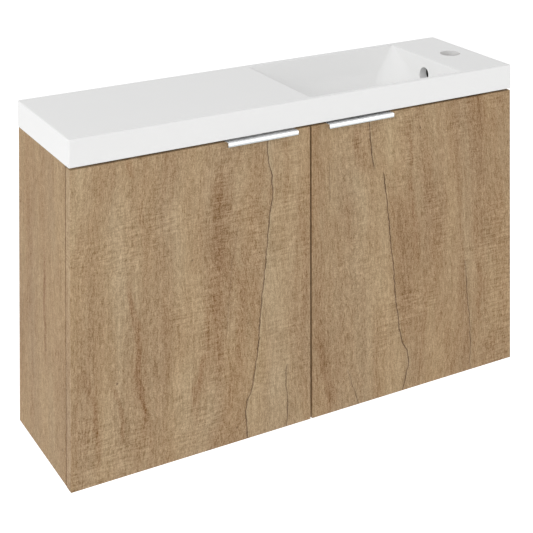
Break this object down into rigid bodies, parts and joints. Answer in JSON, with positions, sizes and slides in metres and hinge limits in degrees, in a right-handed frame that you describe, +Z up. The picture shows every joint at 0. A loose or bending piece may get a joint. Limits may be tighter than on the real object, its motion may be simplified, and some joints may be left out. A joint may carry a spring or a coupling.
{
  "type": "vanity unit",
  "caption": "Wall-hung vanity unit: a slab-edged basin with its bowl right of the middle, over a slim oak cabinet with two doors and edge-pull handles.",
  "frame": {"origin": "on the wall, at the middle of the width and halfway between the wall screws' two levels, 110 mm below the basin's rim", "axes": "+X to the right seen from the front, +Y into the wall, +Z up; the doors face -Y"},
  "size_m": [0.8, 0.23, 0.5],
  "materials": {
    "basin_mineral": "satin white",
    "oak_board": "matte sawn oak",
    "oak_board_inside": "matte oak",
    "beech": "plain beech",
    "handle_metal": "satin",
    "hinge_steel": "nickel plated",
    "zinc_steel": "zinc plated",
    "hanger_plastic": "matte",
    "buffer_rubber": "clear soft"
  },
  "bodies": {
    "carcass": {"basin": "basin_mineral", "bottom_panel": "oak_board_inside", "back_rail_upper": "oak_board_inside", "back_rail_lower": "oak_board_inside", "shelf": "oak_board_inside", "shelf_pins": "zinc_steel", "cam_locks": "zinc_steel", "cam_bolts": "zinc_steel", "dowels": "beech", "hinge_plate_screws": "hinge_steel", "hinge_arm_screws": "hinge_steel", "hanger_screws": "zinc_steel", "side_panel_left": "oak_board", "hinge_arms_left": "hinge_steel", "hinge_arm_pins_left": "hinge_steel", "hinge_plates_left": "hinge_steel", "cabinet_hanger_left": "hanger_plastic", "hanger_hook_left": "zinc_steel", "wall_plate_left": "zinc_steel", "side_panel_right": "oak_board", "hinge_arms_right": "hinge_steel", "hinge_arm_pins_right": "hinge_steel", "hinge_plates_right": "hinge_steel", "cabinet_hanger_right": "hanger_plastic", "hanger_hook_right": "zinc_steel", "wall_plate_right": "zinc_steel"},
    "left_door": {"door_left": "oak_board", "handle_left": "handle_metal", "handle_screws_left": "zinc_steel", "hinge_cups_left": "hinge_steel", "hinge_cup_pins_left": "hinge_steel", "hinge_cup_screws_left": "hinge_steel", "door_buffer_left": "buffer_rubber"},
    "left_links": {"hinge_links_left": "hinge_steel"},
    "right_door": {"door_right": "oak_board", "handle_right": "handle_metal", "handle_screws_right": "zinc_steel", "hinge_cups_right": "hinge_steel", "hinge_cup_pins_right": "hinge_steel", "hinge_cup_screws_right": "hinge_steel", "door_buffer_right": "buffer_rubber"},
    "right_links": {"hinge_links_right": "hinge_steel"}
  },
  "joints": [
    {"name": "left_door_hinge", "type": "hinge", "parent": "carcass", "child": "left_door", "pos_m": [-0.3923, -0.2127, 0], "axis": [0, 0, -1], "range_deg": [0, 95]},
    {"name": "left_link_pivot", "type": "hinge", "parent": "carcass", "child": "left_links", "pos_m": [-0.372, -0.21, 0], "axis": [0, 0, -1], "range_deg": [-24, 0]},
    {"name": "right_door_hinge", "type": "hinge", "parent": "carcass", "child": "right_door", "pos_m": [0.3923, -0.2127, 0], "axis": [0, 0, 1], "range_deg": [0, 95]},
    {"name": "right_link_pivot", "type": "hinge", "parent": "carcass", "child": "right_links", "pos_m": [0.372, -0.21, 0], "axis": [0, 0, 1], "range_deg": [-24, 0]}
  ],
  "couplings": [
    {"joint": "left_link_pivot", "follows": "left_door_hinge", "ratio": -0.2489},
    {"joint": "right_link_pivot", "follows": "right_door_hinge", "ratio": -0.2489}
  ]
}
